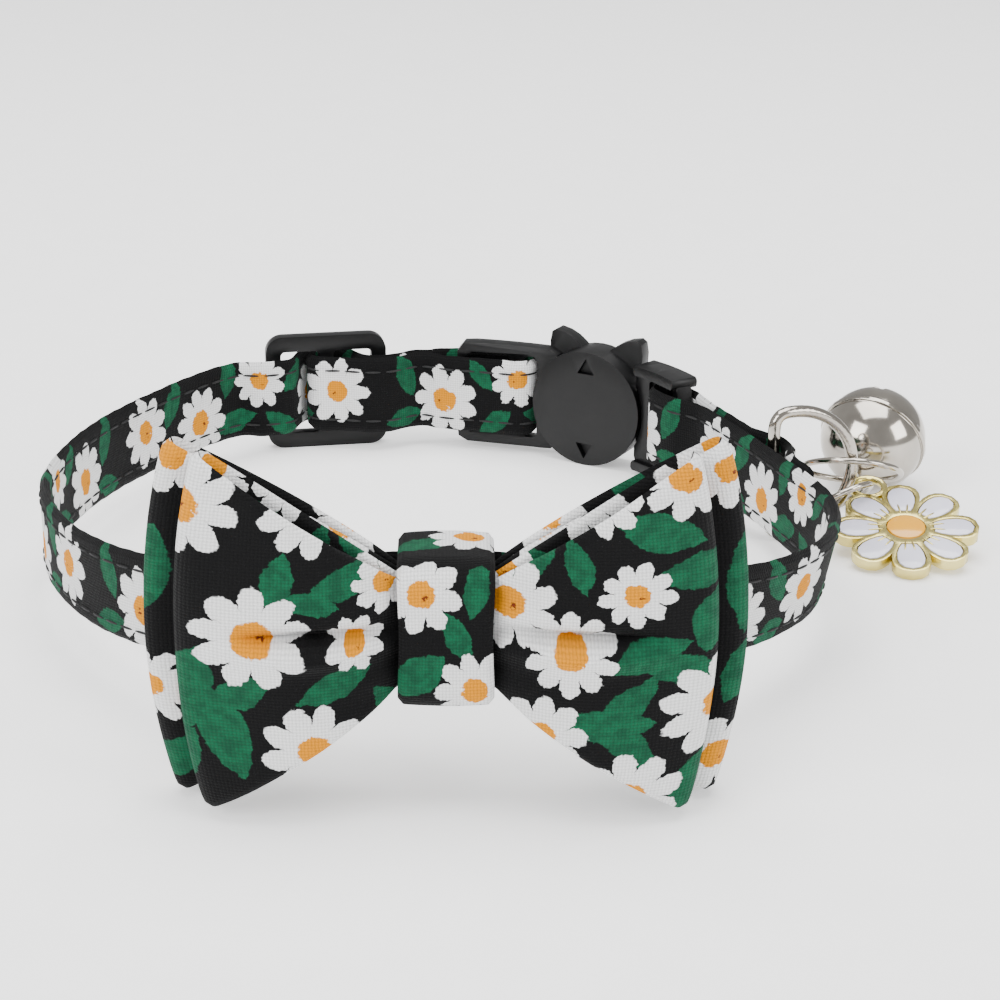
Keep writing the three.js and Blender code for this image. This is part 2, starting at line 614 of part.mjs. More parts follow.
function makeKnot() {
  const front = -1.45 - 0.3 - BOW_WALL - GAP - KNOT.wall - 0.3;
  const back = BOW.strapY - BOW.y + STRAP.thick / 2 + GAP + KNOT.wall + 1.2;
  const half = KNOT.height / 2;
  const shape = roundedRect(new THREE.Shape(), front, back, -half, half, 2.6);
  shape.holes.push(roundedRect(new THREE.Path(), front + KNOT.wall, back - KNOT.wall,
    -half + KNOT.wall, half - KNOT.wall, 1.2));
  const ring = new THREE.ExtrudeGeometry(shape,
    { depth: KNOT.width, steps: 6, bevelEnabled: false, curveSegments: 5 });
  const band = warp(ring, (p) => {
    const across = (p.z - KNOT.width / 2) / (KNOT.width / 2);
    const swell = 1 + 0.035 * (1 - across * across);
    return bowPlace(p.z - KNOT.width / 2, p.x, p.y * swell);
  });
  add('bow_knot', bare(band), cloth());
}

// ---- assembly -----------------------------------------------------------------------------
makeStrap();
makeSlider();
makeBuckle();
makeRingAndDrops();
BOW_LAYERS.forEach(makeBowLayer);
makeKnot();

const box = new THREE.Box3().setFromObject(group);
const middle = box.getCenter(new THREE.Vector3());
for (const mesh of group.children) mesh.geometry.translate(-middle.x, -middle.y, -box.min.z);

export default group;
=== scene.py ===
from collections.abc import Callable, Sequence
from dataclasses import dataclass, field
from enum import Enum
import logging
import math

import bmesh
import bpy
from mathutils import Matrix, Vector
import numpy as np


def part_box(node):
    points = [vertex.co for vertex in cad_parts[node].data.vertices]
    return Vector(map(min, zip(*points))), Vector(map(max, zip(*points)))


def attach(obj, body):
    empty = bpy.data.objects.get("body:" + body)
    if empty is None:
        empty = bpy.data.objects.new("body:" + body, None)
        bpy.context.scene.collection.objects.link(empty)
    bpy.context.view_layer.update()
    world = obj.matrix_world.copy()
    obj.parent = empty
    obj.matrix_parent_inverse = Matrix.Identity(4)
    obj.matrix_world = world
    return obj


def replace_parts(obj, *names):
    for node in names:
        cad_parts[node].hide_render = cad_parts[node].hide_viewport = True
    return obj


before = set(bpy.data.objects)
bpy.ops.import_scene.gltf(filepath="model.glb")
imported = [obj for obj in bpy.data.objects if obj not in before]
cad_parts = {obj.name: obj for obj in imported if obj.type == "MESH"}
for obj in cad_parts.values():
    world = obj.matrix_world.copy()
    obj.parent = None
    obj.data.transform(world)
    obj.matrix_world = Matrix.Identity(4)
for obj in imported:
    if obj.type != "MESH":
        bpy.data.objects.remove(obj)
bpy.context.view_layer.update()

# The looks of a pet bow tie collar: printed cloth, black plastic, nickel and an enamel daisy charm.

log = logging.getLogger("collar")

MM = 0.001
ROOT = "root"

# The collar's plan is in millimetres round the middle of its loop. The middle of the bell's ball, at a
# known place in the plan, ties it to the frame.
PELLET_PLAN = Vector((52.8, 17.6, 2.75))
BELL_PLAN = Vector((52.8, 17.6, 6.45))

# x, y: place on the strap's middle line; z: its height; lean: outward lean of the top edge in degrees.
LOOP_POINTS = (
    (18.8, 27.8, 7.5, 0), (26.0, 22.0, 7.5, 0), (32.6, 8.6, 7.5, 0), (37.8, -6.0, 7.6, 2),
    (40.7, -20.0, 8.2, 8), (37.6, -33.0, 9.2, 12), (29.0, -44.4, 10.8, 10), (19.0, -52.2, 13.8, 3),
    (7.0, -57.4, 17.0, 0), (-7.0, -57.4, 17.0, 0), (-19.0, -51.8, 13.6, 0), (-29.4, -42.6, 10.8, 0),
    (-38.4, -30.4, 9.2, 0), (-43.6, -16.0, 8.7, 0), (-42.4, 0.0, 8.2, 0), (-36.6, 15.6, 7.7, 0),
    (-26.4, 30.0, 7.5, 0), (-12.0, 34.4, 7.5, 0), (5.0, 33.4, 7.5, 0),
)

STRAP_WIDTH = 10.0
STRAP_THICK = 1.1
GAP = 0.3  # clearance between pieces that touch
LAYER = STRAP_THICK + GAP
RING_ALONG = 34.5  # where along the loop the D-ring's bar is
SOCKET_BACK, SOCKET_END_BACK = 10.4, 22.4  # how far before the buckle the socket's bar and frame end are
PLUG_BAR = 12.3
BAR_REACH = math.hypot(0.9, 1.0) + GAP * 0.7 + STRAP_THICK / 2  # strap's turn round a buckle bar
SLIDER_REACH = math.hypot(0.95, 0.8) + GAP * 0.7 + STRAP_THICK / 2  # and round the slider's bar
RING_REACH = STRAP_THICK + 1.5 + 2 * GAP  # how far out the tail stands over the D-ring's bar
SLIDER_BACK = 35.69  # how far before the buckle the slider's middle bar is
BOW_Y, BOW_Z, BOW_LEAN = -62.2, 17.2, 3.0
STRAP_BEHIND_BOW = 4.0
KNOT_HALF = 4.2
BOW_WALL = 1.1

# A daisy: across, up: its middle on the cloth; size: half its width; petals; turn in degrees.
FRONT_DAISIES = (
    (-22.0, 12.2, 4.7, 9, 10), (-11.4, 12.6, 4.5, 10, 0), (-16.1, 0.8, 4.7, 9, 30),
    (-7.9, 0.2, 2.6, 8, 0), (-11.4, -9.7, 4.5, 9, 15), (-5.4, 5.3, 2.7, 8, 20),
    (5.4, 3.4, 4.3, 9, 0), (15.8, 4.8, 3.0, 9, 12),
    (10.6, -0.6, 4.0, 10, 0), (8.3, -8.6, 4.0, 9, 25), (16.1, -14.5, 4.6, 9, 0), (22.6, -6.3, 4.9, 10, 8),
    (20.1, 14.9, 3.8, 9, 0), (13.2, 13.6, 3.6, 9, 14),
)
# A leaf: across, up: its middle; length and width: half sizes; turn in degrees.
FRONT_LEAVES = (
    (-8.3, 6.0, 3.8, 1.5, 20), (-11.6, 4.0, 2.6, 1.1, -10), (-14.2, 6.0, 2.8, 1.3, 80),
    (-21.5, -5.0, 5.2, 2.1, 70), (-18.6, -8.2, 4.6, 1.9, 105), (-22.8, -11.6, 4.0, 1.7, 60),
    (-17.4, -4.6, 3.4, 1.4, 35), (-9.6, -3.6, 3.6, 1.3, 28), (7.2, 8.4, 3.8, 1.9, 60),
    (11.3, 7.4, 2.6, 1.2, 105), (17.7, 10.3, 3.8, 1.7, -20), (20.6, 6.6, 3.6, 1.5, 10),
    (21.4, 2.0, 3.2, 1.6, 80), (16.6, -0.9, 3.5, 1.4, 20), (13.6, -7.2, 4.2, 1.5, 0),
    (15.2, -5.8, 3.9, 1.4, 50), (15.4, -9.0, 3.6, 1.4, -45), (19.2, -2.4, 3.4, 1.4, -15),
    (21.2, -13.8, 3.5, 1.8, 80),
    (-4.8, -6.5, 2.8, 1.2, -60),
)
REAR_DAISIES = (
    (24.0, 14.2, 3.6, 9, 0), (-24.6, -6.0, 3.6, 9, 0), (-23.4, 15.6, 3.4, 9, 0), (-19.0, -15.4, 3.4, 9, 10),
    (23.6, -12.8, 3.8, 9, 0), (8.0, 9.0, 4.2, 9, 0), (-8.0, -7.0, 4.2, 9, 0), (-9.0, 9.0, 3.6, 9, 0),
)
REAR_LEAVES = (
    (25.0, 4.6, 5.6, 2.0, 82), (-24.4, 5.0, 4.2, 1.9, 85), (24.6, -4.0, 3.8, 1.5, 70),
    (-23.6, -13.0, 3.2, 1.6, 40), (14.0, 2.0, 4.0, 1.8, 30), (-15.0, 2.0, 4.0, 1.8, -30),
    (12.0, -9.0, 4.0, 1.7, 10), (-16.0, 12.0, 3.6, 1.5, 60),
)
KNOT_DAISIES = (
    (-2.2, 4.2, 3.6, 8, 10), (2.5, -4.6, 3.6, 9, 0), (-2.0, -14.0, 3.6, 9, 0), (2.0, 14.0, 3.6, 9, 0),
)
KNOT_LEAVES = (
    (-2.4, -3.2, 3.0, 1.7, 40), (2.6, 4.6, 2.8, 1.1, 80), (1.0, 0.4, 2.8, 1.1, -60),
    (2.4, -12.0, 3.0, 1.5, 70), (-2.0, 12.0, 3.0, 1.5, 20),
)
# One repeat of the strap's print, which then starts again.
STRAP_REPEAT = 47.0
STRAP_DAISIES = (
    (5.2, 0.6, 4.4, 9, 0), (16.6, -1.4, 4.6, 10, 10), (26.6, 2.6, 3.6, 9, 0), (36.6, -0.8, 4.6, 9, 20),
)
STRAP_LEAVES = (
    (11.0, 2.6, 3.2, 1.4, 60), (10.6, -3.4, 2.6, 1.3, -20), (21.8, 3.4, 2.8, 1.3, 80),
    (22.8, -2.6, 3.4, 1.5, 15), (29.6, -3.4, 3.0, 1.3, -40), (31.6, 2.8, 2.6, 1.2, 50),
    (42.6, 2.4, 3.2, 1.4, 70), (42.8, -3.2, 2.8, 1.3, -10),
)


class Slot(Enum):
    """Names for material slots, which no piece here is given."""

    CLOTH = "cloth"
    BOW = "bow_cloth"
    PLASTIC = "plastic"
    NICKEL = "nickel"
    GOLD = "gold_rim"
    WHITE = "enamel_white"
    YELLOW = "enamel_yellow"


# ---- shader maths -------------------------------------------------------------------------


class Value:
    """A number made by a shader node, with Python's own arithmetic."""

    def __init__(self, shader: "Shader", socket: bpy.types.NodeSocket) -> None:
        """Wraps one output socket."""
        self.shader, self.socket = shader, socket

    def _math(self, operation: str, *inputs: "Value | float") -> "Value":
        """Adds one Math node."""
        node = self.shader.node("ShaderNodeMath", operation=operation)
        for socket, given in zip(node.inputs, inputs):
            self.shader.feed(socket, given)
        return Value(self.shader, node.outputs[0])

    def __add__(self, other: "Value | float") -> "Value":
        """Their sum."""
        return self._math("ADD", self, other)

    __radd__ = __add__

    def __sub__(self, other: "Value | float") -> "Value":
        """What is left after taking the other away."""
        return self._math("SUBTRACT", self, other)

    def __rsub__(self, other: "Value | float") -> "Value":
        """The other less this."""
        return self._math("SUBTRACT", other, self)

    def __mul__(self, other: "Value | float") -> "Value":
        """Their product."""
        return self._math("MULTIPLY", self, other)

    __rmul__ = __mul__

    def __truediv__(self, other: "Value | float") -> "Value":
        """This divided by the other."""
        return self._math("DIVIDE", self, other)

    def __pow__(self, other: "Value | float") -> "Value":
        """This raised to a power."""
        return self._math("POWER", self, other)

    def __lt__(self, other: "Value | float") -> "Value":
        """1 where this is smaller, else 0."""
        return self._math("LESS_THAN", self, other)

    def __abs__(self) -> "Value":
        """Its size without its sign."""
        return self._math("ABSOLUTE", self)

    def sin(self) -> "Value":
        """Its sine."""
        return self._math("SINE", self)

    def floor(self) -> "Value":
        """The whole number below it."""
        return self._math("FLOOR", self)

    def wrapped(self, length: float) -> "Value":
        """What is left after whole lengths, never below 0."""
        return self._math("WRAP", self, length, 0.0)

    def angle(self, across: "Value") -> "Value":
        """The angle of the point (across, self)."""
        return self._math("ARCTAN2", self, across)

    def least(self, other: "Value | float") -> "Value":
        """The smaller of the two."""
        return self._math("MINIMUM", self, other)

    def most(self, other: "Value | float") -> "Value":
        """The larger of the two."""
        return self._math("MAXIMUM", self, other)

    def ramp(self, low: float, high: float) -> "Value":
        """0 below low, 1 above high, and smooth between them."""
        node = self.shader.node("ShaderNodeMapRange", interpolation_type="SMOOTHSTEP")
        self.shader.feed(node.inputs["Value"], self)
        node.inputs["From Min"].default_value = low
        node.inputs["From Max"].default_value = high
        return Value(self.shader, node.outputs[0])


class Shader:
    """One material's nodes."""

    def __init__(self, name: str) -> None:
        """Makes an empty material with its own surface shader."""
        self.material = bpy.data.materials.new(name)
        self.material.use_nodes = True
        self.tree = self.material.node_tree
        self.surface = self.tree.nodes["Principled BSDF"]

    def node(self, kind: str, **settings: object) -> bpy.types.Node:
        """Adds one node and sets its options."""
        made = self.tree.nodes.new(kind)
        for name, setting in settings.items():
            setattr(made, name, setting)
        return made

    def feed(self, socket: bpy.types.NodeSocket, given: object) -> None:
        """Links a value or socket into a socket, or sets it to a constant."""
        if isinstance(given, Value):
            given = given.socket
        if isinstance(given, bpy.types.NodeSocket):
            self.tree.links.new(given, socket)
        else:
            socket.default_value = given

    def vector(self, operation: str, *inputs: object, output: str = "Vector") -> bpy.types.NodeSocket:
        """Adds one Vector Math node and returns one of its outputs."""
        node = self.node("ShaderNodeVectorMath", operation=operation)
        for socket, given in zip(node.inputs, inputs):
            self.feed(socket, given)
        return node.outputs[output]

    def parts(self, socket: bpy.types.NodeSocket) -> tuple[Value, Value, Value]:
        """The three numbers of a vector."""
        node = self.node("ShaderNodeSeparateXYZ")
        self.feed(node.inputs[0], socket)
        return tuple(Value(self, out) for out in node.outputs)

    def joined(self, x: Value | float, y: Value | float) -> bpy.types.NodeSocket:
        """A flat vector from two numbers."""
        node = self.node("ShaderNodeCombineXYZ")
        self.feed(node.inputs[0], x)
        self.feed(node.inputs[1], y)
        return node.outputs[0]

    def mix(self, share: Value, first: object, second: object, kind: str = "RGBA") -> bpy.types.NodeSocket:
        """Blends two colours or vectors; share 1 gives the second."""
        node = self.node("ShaderNodeMix", data_type=kind)
        start = {"RGBA": 6, "VECTOR": 4}[kind]
        self.feed(node.inputs[0], share)
        self.feed(node.inputs[start], first)
        self.feed(node.inputs[start + 1], second)
        return node.outputs[{"RGBA": 2, "VECTOR": 1}[kind]]

    def place(self) -> bpy.types.NodeSocket:
        """The object's own coordinates."""
        return self.node("ShaderNodeTexCoord").outputs["Object"]

    def own(self, name: str) -> bpy.types.NodeSocket:
        """An attribute of the mesh."""
        return self.node("ShaderNodeAttribute", attribute_name=name).outputs["Vector"]

    def noise(
        self, where: object, scale: float, detail: float = 2.0, output: int = 0,
    ) -> bpy.types.NodeSocket:
        """A cloudy pattern, by default as a number."""
        node = self.node("ShaderNodeTexNoise")
        self.feed(node.inputs["Vector"], where)
        node.inputs["Scale"].default_value = scale
        node.inputs["Detail"].default_value = detail
        return node.outputs[output]

    def bump(self, height: Value, depth: float, strength: float = 1.0) -> None:
        """Raises the surface's shading by height times depth metres."""
        node = self.node("ShaderNodeBump")
        node.inputs["Strength"].default_value = strength
        node.inputs["Distance"].default_value = depth
        self.feed(node.inputs["Height"], height)
        self.feed(self.surface.inputs["Normal"], node.outputs[0])

    def set(self, **constants: object) -> None:
        """Sets constants on the surface shader; underscores stand for spaces."""
        for name, given in constants.items():
            self.surface.inputs[name.replace("_", " ")].default_value = given


def rgb(red: int, green: int, blue: int) -> tuple[float, float, float, float]:
    """A colour given as it looks on screen, as a shader's linear colour."""
    parts = [c / 255 for c in (red, green, blue)]
    return (*(c / 12.92 if c <= 0.04045 else ((c + 0.055) / 1.055) ** 2.4 for c in parts), 1.0)


# ---- finishes -----------------------------------------------------------------------------


@dataclass(frozen=True)
class PrintedCloth:
    """Plain-woven cotton with a daisy and leaf print on a black ground."""

    name: str
    daisies: Sequence[tuple]
    leaves: Sequence[tuple]
    repeat: float = 0.0
    pitch: float = 0.30  # distance between threads
    ground: tuple = rgb(9, 9, 10)
    leaf: tuple = rgb(16, 84, 56)
    leaf_dark: tuple = rgb(12, 68, 46)
    petal: tuple = rgb(226, 226, 226)
    middle: tuple = rgb(208, 132, 0)
    dot: tuple = rgb(98, 38, 14)

    def _local(
        self, shader: Shader, where: object, row: tuple, wide: float, high: float,
    ) -> bpy.types.NodeSocket:
        """A figure's own coordinates, in which it is 1 wide and 1 high."""
        node = shader.node("ShaderNodeMapping", vector_type="TEXTURE")
        shader.feed(node.inputs["Vector"], where)
        node.inputs["Location"].default_value = (row[0], row[1], 0)
        node.inputs["Rotation"].default_value = (0, 0, math.radians(row[-1]))
        node.inputs["Scale"].default_value = (wide, high, 1)
        return node.outputs[0]

    def _daisy(self, shader: Shader, where: object) -> tuple[bpy.types.NodeSocket, Value, Value]:
        """The nearest daisy's own coordinates, its number of petals, and how far out the point is."""
        nearest = None
        for row in self.daisies:
            local = self._local(shader, where, row, row[2], row[2])
            far = Value(shader, shader.vector("LENGTH", local, output="Value"))
            if nearest is None:
                nearest, petals, out = local, shader.joined(row[3], 0.0), far
                continue
            closer = far < out
            nearest = shader.mix(closer, nearest, local, "VECTOR")
            petals = shader.mix(closer, petals, (row[3], 0.0, 0.0), "VECTOR")
            out = out.least(far)
        return nearest, shader.parts(petals)[0], out

    def _leaf(self, shader: Shader, where: object) -> Value:
        """Below 1 inside a leaf, and 0 at its middle."""
        found: Value | None = None
        for row in self.leaves:
            x, y, _ = shader.parts(self._local(shader, where, row, row[2], row[3]))
            inside = x * x + abs(y)
            found = inside if found is None else found.least(inside)
        return found

    def _weave(self, shader: Shader, across: Value, up: Value) -> Value:
        """The height of over-and-under threads, from 0 to 1."""
        turn = math.pi / self.pitch
        row, column = (up / self.pitch).floor(), (across / self.pitch).floor()
        weft = abs((up * turn).sin()) * ((across * turn + row * math.pi).sin() * 0.5 + 0.5)
        warp = abs((across * turn).sin()) * ((up * turn + column * math.pi + math.pi).sin() * 0.5 + 0.5)
        return weft.most(warp) ** 0.7

    def build(self) -> bpy.types.Material:
        """Makes the material. Its mesh holds the cloth's own millimetres as the attribute 'cloth'."""
        shader = Shader(self.name)
        cloth = shader.own("cloth")
        slow = shader.noise(cloth, 0.55, 2.0, 1)
        fast = shader.noise(cloth, 2.6, 2.0, 1)
        half = (0.5, 0.5, 0.5)
        shift = shader.vector("SCALE", shader.vector("SUBTRACT", slow, half))
        shift.node.inputs["Scale"].default_value = 0.8
        ragged = shader.vector("SCALE", shader.vector("SUBTRACT", fast, half))
        ragged.node.inputs["Scale"].default_value = 0.5
        across, up, _ = shader.parts(cloth)
        drawn = shader.joined(across.wrapped(self.repeat) if self.repeat else across, up)
        drawn = shader.vector("ADD", shader.vector("ADD", drawn, shift), ragged)

        local, petals, out = self._daisy(shader, drawn)
        x, y, _ = shader.parts(local)
        turn = y.angle(x)
        lobe = abs((turn * petals * 0.5).sin()) ** 0.5
        edge = lobe * 0.46 + 0.54
        petal = (edge - out).ramp(-0.015, 0.02)
        middle = (0.35 - out).ramp(-0.015, 0.02)
        spot = shader.vector("SUBTRACT", local, (0.1, -0.08, 0))
        dot = (0.075 - Value(shader, shader.vector("LENGTH", spot, output="Value"))).ramp(-0.01, 0.02)
        leaf = (1.0 - self._leaf(shader, drawn)).ramp(-0.03, 0.05)

        cloud = Value(shader, shader.noise(cloth, 0.9, 3.0))
        thread = Value(shader, shader.noise(cloth, 5.5, 2.0))
        green = shader.mix(cloud.ramp(0.35, 0.65), self.leaf, self.leaf_dark)
        colour = shader.mix(leaf, self.ground, green)
        between = abs((turn * petals * 0.5).sin()).ramp(0.0, 0.18) * -1.0 + 1.0
        vein = between * (out - 0.5).ramp(0.0, 0.3) * 0.35
        white = shader.mix(vein, self.petal, rgb(150, 150, 148))
        colour = shader.mix(petal, colour, white)
        colour = shader.mix(middle, colour, self.middle)
        colour = shader.mix(dot * middle, colour, self.dot)

        wobble = (thread - 0.5) * 0.12
        weave = self._weave(shader, across + wobble, up + wobble)
        # Painted shade in the gaps between threads and painted highlight on their tops, from the weave's
        # height, times a random tone per thread.
        weave_shade_and_tone = (weave * 0.42 + 0.62) * (thread * 0.3 + 0.85)
        shaded = shader.vector("SCALE", colour)
        shader.feed(shaded.node.inputs["Scale"], weave_shade_and_tone)
        shader.feed(shader.surface.inputs["Base Color"], shaded)
        shader.feed(shader.surface.inputs["Roughness"], thread * 0.2 + 0.75)
        shader.set(Specular_IOR_Level=0.12, Sheen_Weight=0.025, Sheen_Roughness=0.5)
        shader.bump(weave + thread * 0.5, 0.00009, 0.8)
        return shader.material


@dataclass(frozen=True)
class Hard:
    """A moulded, plated or enamelled surface with faint wear.

    Args:
        name: What it is.
        colour: Its main colour.
        worn: The colour it drifts to.
        rough: Roughness where it is cleanest.
        metallic: 1 for metal.
        coat: Weight of a clear coat.
        grain: Depth of its fine unevenness in metres.
        scale: How fine the unevenness is.
        shine: Strength of its clear highlight.
        glow: Light it gives off.
    """

    name: str
    colour: tuple
    worn: tuple
    rough: float
    metallic: float = 0.0
    coat: float = 0.0
    grain: float = 0.00001
    scale: float = 900.0
    shine: float = 0.5
    glow: float = 0.0

    def build(self) -> bpy.types.Material:
        """Makes the material."""
        shader = Shader(self.name)
        where = shader.place()
        cloud = Value(shader, shader.noise(where, 160.0, 3.0))
        fine = Value(shader, shader.noise(where, self.scale, 3.0))
        colour = shader.mix(cloud.ramp(0.3, 0.75), self.colour, self.worn)
        shader.feed(shader.surface.inputs["Base Color"], colour)
        shader.feed(shader.surface.inputs["Roughness"], fine * 0.12 + self.rough)
        shader.set(Metallic=self.metallic, Specular_IOR_Level=self.shine)
        shader.set(Coat_Weight=self.coat, Coat_Roughness=0.05)
        shader.set(Emission_Color=self.colour, Emission_Strength=self.glow)
        shader.bump(fine, self.grain, 0.6)
        return shader.material


MOULDED = Hard("moulded_plastic", rgb(4, 4, 5), rgb(8, 8, 9), 0.36, grain=0.00002, shine=0.3)
NICKEL = Hard("bright_nickel", rgb(186, 180, 170), rgb(160, 154, 146), 0.07, 1.0, grain=0.000004, scale=500.0)
GOLD = Hard("pale_gold", rgb(226, 212, 140), rgb(202, 186, 110), 0.16, 1.0, grain=0.000006)
WHITE = Hard("white_enamel", rgb(226, 225, 238), rgb(208, 207, 224), 0.1, coat=0.6, scale=320.0)
YELLOW = Hard("yellow_enamel", rgb(232, 164, 0), rgb(222, 150, 0), 0.1, coat=0.6, scale=320.0)
THREAD = Hard("black_thread", rgb(8, 8, 9), rgb(18, 18, 20), 0.7, grain=0.00004, scale=4200.0)
FLOOR = Hard("pale_floor", rgb(250, 250, 250), rgb(247, 247, 247), 0.8, grain=0.000001, scale=60.0, glow=0.45)


# ---- the plan -----------------------------------------------------------------------------


class Plan:
    """Turns places on the collar's loop into places in the frame."""

    def __init__(self) -> None:
        """Samples the closed middle line of the loop."""
        low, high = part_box("bell_pellet")
        self.origin = (low + high) / 2 - PELLET_PLAN * MM
        rows = np.array(LOOP_POINTS, float)
        samples = np.vstack([self._stretch(rows, i) for i in range(len(rows))])
        closed = np.vstack([samples, samples[:1]])
        steps = np.linalg.norm(np.diff(closed[:, :3], axis=0), axis=1)
        self.lengths = np.concatenate([[0.0], np.cumsum(steps)])
        self.closed = closed
        self.length = float(self.lengths[-1])

    @staticmethod
    def _stretch(rows: np.ndarray, i: int, count: int = 60) -> np.ndarray:
        """Centripetal Catmull-Rom points from row i to the next."""
        p = [rows[(i + k - 1) % len(rows)] for k in range(4)]
        gaps = [math.sqrt(float(np.linalg.norm(p[k + 1][:3] - p[k][:3]))) for k in range(3)]
        t = np.cumsum([0.0, *gaps])
        at = np.linspace(t[1], t[2], count, endpoint=False)[:, None]
        a = [(t[k + 1] - at) / gaps[k] * p[k] + (at - t[k]) / gaps[k] * p[k + 1] for k in range(3)]
        b = [
            (t[k + 2] - at) / (t[k + 2] - t[k]) * a[k] + (at - t[k]) / (t[k + 2] - t[k]) * a[k + 1]
            for k in range(2)
        ]
        return (t[2] - at) / gaps[1] * b[0] + (at - t[1]) / gaps[1] * b[1]

    def _at(self, along: float) -> np.ndarray:
        """x, y, z and lean at a distance along the loop."""
        along %= self.length
        return np.array([np.interp(along, self.lengths, self.closed[:, k]) for k in range(4)])

    def on_loop(self, along: float, out: float, up: float) -> Vector:
        """The frame's place of a point.

        Args:
            along: How far along the loop it is.
            out: How far outward from the strap's middle.
            up: How far up the strap from its middle.

        Returns:
            Its place in metres.
        """
        here, ahead, behind = self._at(along), self._at(along + 0.3), self._at(along - 0.3)
        way = Vector(ahead[:2] - behind[:2]).normalized()
        lean = math.radians(here[3])
        spread = out * math.cos(lean) + up * math.sin(lean)
        return self.origin + Vector((
            here[0] - way.y * spread,
            here[1] + way.x * spread,
            here[2] + up * math.cos(lean) - out * math.sin(lean),
        )) * MM

    def bow(self, x: float, y: float, z: float) -> Vector:
        """The frame's place of a point given from the bow's middle."""
        lean = math.radians(BOW_LEAN)
        return self.origin + Vector((
            x,
            BOW_Y + y * math.cos(lean) + z * math.sin(lean),
            BOW_Z + z * math.cos(lean) - y * math.sin(lean),
        )) * MM


def arc(middle: tuple[float, float], radius: float, start: float, stop: float, count: int = 9) -> list[tuple]:
    """Points of an arc in degrees."""
    turns = np.radians(np.linspace(start, stop, count))
    return [(middle[0] + radius * math.cos(t), middle[1] + radius * math.sin(t)) for t in turns]


def smoothed(line: Sequence[tuple], step: float) -> np.ndarray:
    """An open line with its corners rounded and points step apart."""
    points = np.array(line, float)
    for _ in range(2):
        near = points[:-1] * 0.75 + points[1:] * 0.25
        far = points[:-1] * 0.25 + points[1:] * 0.75
        inner = np.stack([near, far], 1).reshape(-1, 2)
        points = np.vstack([points[:1], inner[1:-1], points[-1:]])
    lengths = np.concatenate([[0.0], np.cumsum(np.linalg.norm(np.diff(points, axis=0), axis=1))])
    at = np.linspace(0, lengths[-1], max(2, round(lengths[-1] / step)))
    return np.stack([np.interp(at, lengths, points[:, k]) for k in range(2)], 1)


# ---- meshes -------------------------------------------------------------------------------


def new_object(
    name: str, bm: bmesh.types.BMesh, material: bpy.types.Material, sharp: float = 40,
) -> bpy.types.Object:
    """Makes a finished piece at the origin that rides on the collar.

    Args:
        name: The piece's name.
        bm: Its mesh, which is freed.
        material: Its finish.
        sharp: Edges bent by more degrees than this stay crisp.

    Returns:
        The new object.
    """
    mesh = bpy.data.meshes.new(name)
    bm.normal_update()
    bm.to_mesh(mesh)
    bm.free()
    mesh.polygons.foreach_set("use_smooth", [True] * len(mesh.polygons))
    mesh.set_sharp_from_angle(angle=math.radians(sharp))
    mesh.materials.append(material)
    made = bpy.data.objects.new(name, mesh)
    bpy.context.scene.collection.objects.link(made)
    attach(made, ROOT)
    return made


Place = Callable[[float, float, float], Vector]
Print = Callable[[float, float, float, float], tuple[float, float]]


@dataclass
class Ribbon:
    """A strip of cloth of even thickness that follows a flat line and stands square to it.

    Args:
        line: The middle of its thickness, as points (a, b).
        thick: Its thickness.
        rows: Steps from its lower edge to its upper edge.
        place: Gives the frame's place of (a, b, v), where v runs from -1 at the lower edge to 1 at the upper.
        cloth: Gives the print's place of (length along, a, b, v).
        loop: Whether the line closes on itself.
    """

    line: np.ndarray
    thick: float
    rows: int
    place: Place
    cloth: Print
    loop: bool = False

    def _ring(self) -> list[tuple[float, float]]:
        """The section's points (offset, v), with rounded edges."""
        turns = np.linspace(-math.pi / 2, math.pi / 2, self.rows + 1)
        heights = np.sin(turns) * 0.12 + np.linspace(-1, 1, self.rows + 1) * 0.88
        offsets = self.thick / 2 * np.sqrt(np.clip(1 - np.abs(heights) ** 26, 0, 1))
        front = list(zip(offsets, heights))
        return front + [(-o, v) for o, v in reversed(front[1:-1])]

    def add(self, bm: bmesh.types.BMesh) -> None:
        """Adds the strip to a mesh."""
        layer = bm.verts.layers.float_vector.get("cloth") or bm.verts.layers.float_vector.new("cloth")
        count = len(self.line)
        ring = self._ring()
        lengths = np.concatenate([[0.0], np.cumsum(np.linalg.norm(np.diff(self.line, axis=0), axis=1))])
        rings = []
        for i, (a, b) in enumerate(self.line):
            after = self.line[(i + 1) % count] if self.loop else self.line[min(i + 1, count - 1)]
            before = self.line[i - 1] if self.loop else self.line[max(i - 1, 0)]
            run = (after - before) / max(float(np.linalg.norm(after - before)), 1e-9)
            made = []
            for offset, v in ring:
                at = (a - run[1] * offset, b + run[0] * offset)
                vert = bm.verts.new(self.place(*at, v))
                vert[layer] = (*self.cloth(float(lengths[i]), *at, v), 0.0)
                made.append(vert)
            rings.append(made)
        size = len(ring)
        for i in range(count if self.loop else count - 1):
            here, there = rings[i], rings[(i + 1) % count]
            for k in range(size):
                bm.faces.new((here[k], there[k], there[(k + 1) % size], here[(k + 1) % size]))
        if not self.loop:
            bm.faces.new(rings[0])
            bm.faces.new(list(reversed(rings[-1])))
        bmesh.ops.recalc_face_normals(bm, faces=bm.faces[:])


